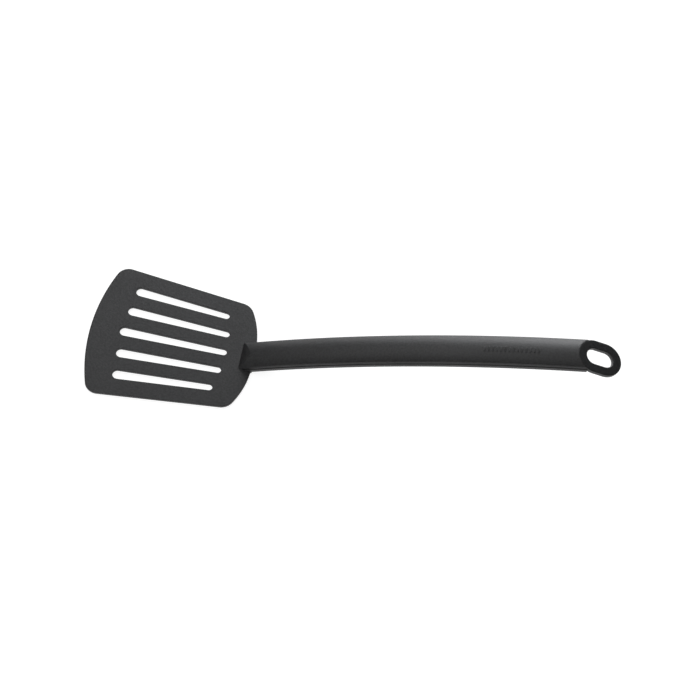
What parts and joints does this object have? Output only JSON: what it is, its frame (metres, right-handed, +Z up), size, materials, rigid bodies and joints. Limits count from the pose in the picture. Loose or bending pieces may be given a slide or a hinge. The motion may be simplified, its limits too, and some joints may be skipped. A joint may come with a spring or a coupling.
{
  "type": "grill spatula",
  "caption": "Slotted grill spatula: flat fan-shaped blade with long drain slots, arched two-shell handle and a hanging ring at its end.",
  "frame": {"origin": "on the blade's flat underside, on its centre line, directly below the front foot of the handle", "axes": "+X from the blade's front edge towards the hanging ring, +Z up, square to the blade, +Y across the blade"},
  "size_m": [0.3125, 0.0908, 0.0904],
  "materials": {
    "blade_nylon": "fine matte texture",
    "base_nylon": "fine matte texture",
    "cover_nylon": "fine matte texture with a soft sheen",
    "ring_nylon": "smooth matte"
  },
  "bodies": {
    "root": {"blade": "blade_nylon", "handle_base": "base_nylon", "handle_cover": "cover_nylon", "hanging_ring": "ring_nylon"}
  },
  "joints": []
}
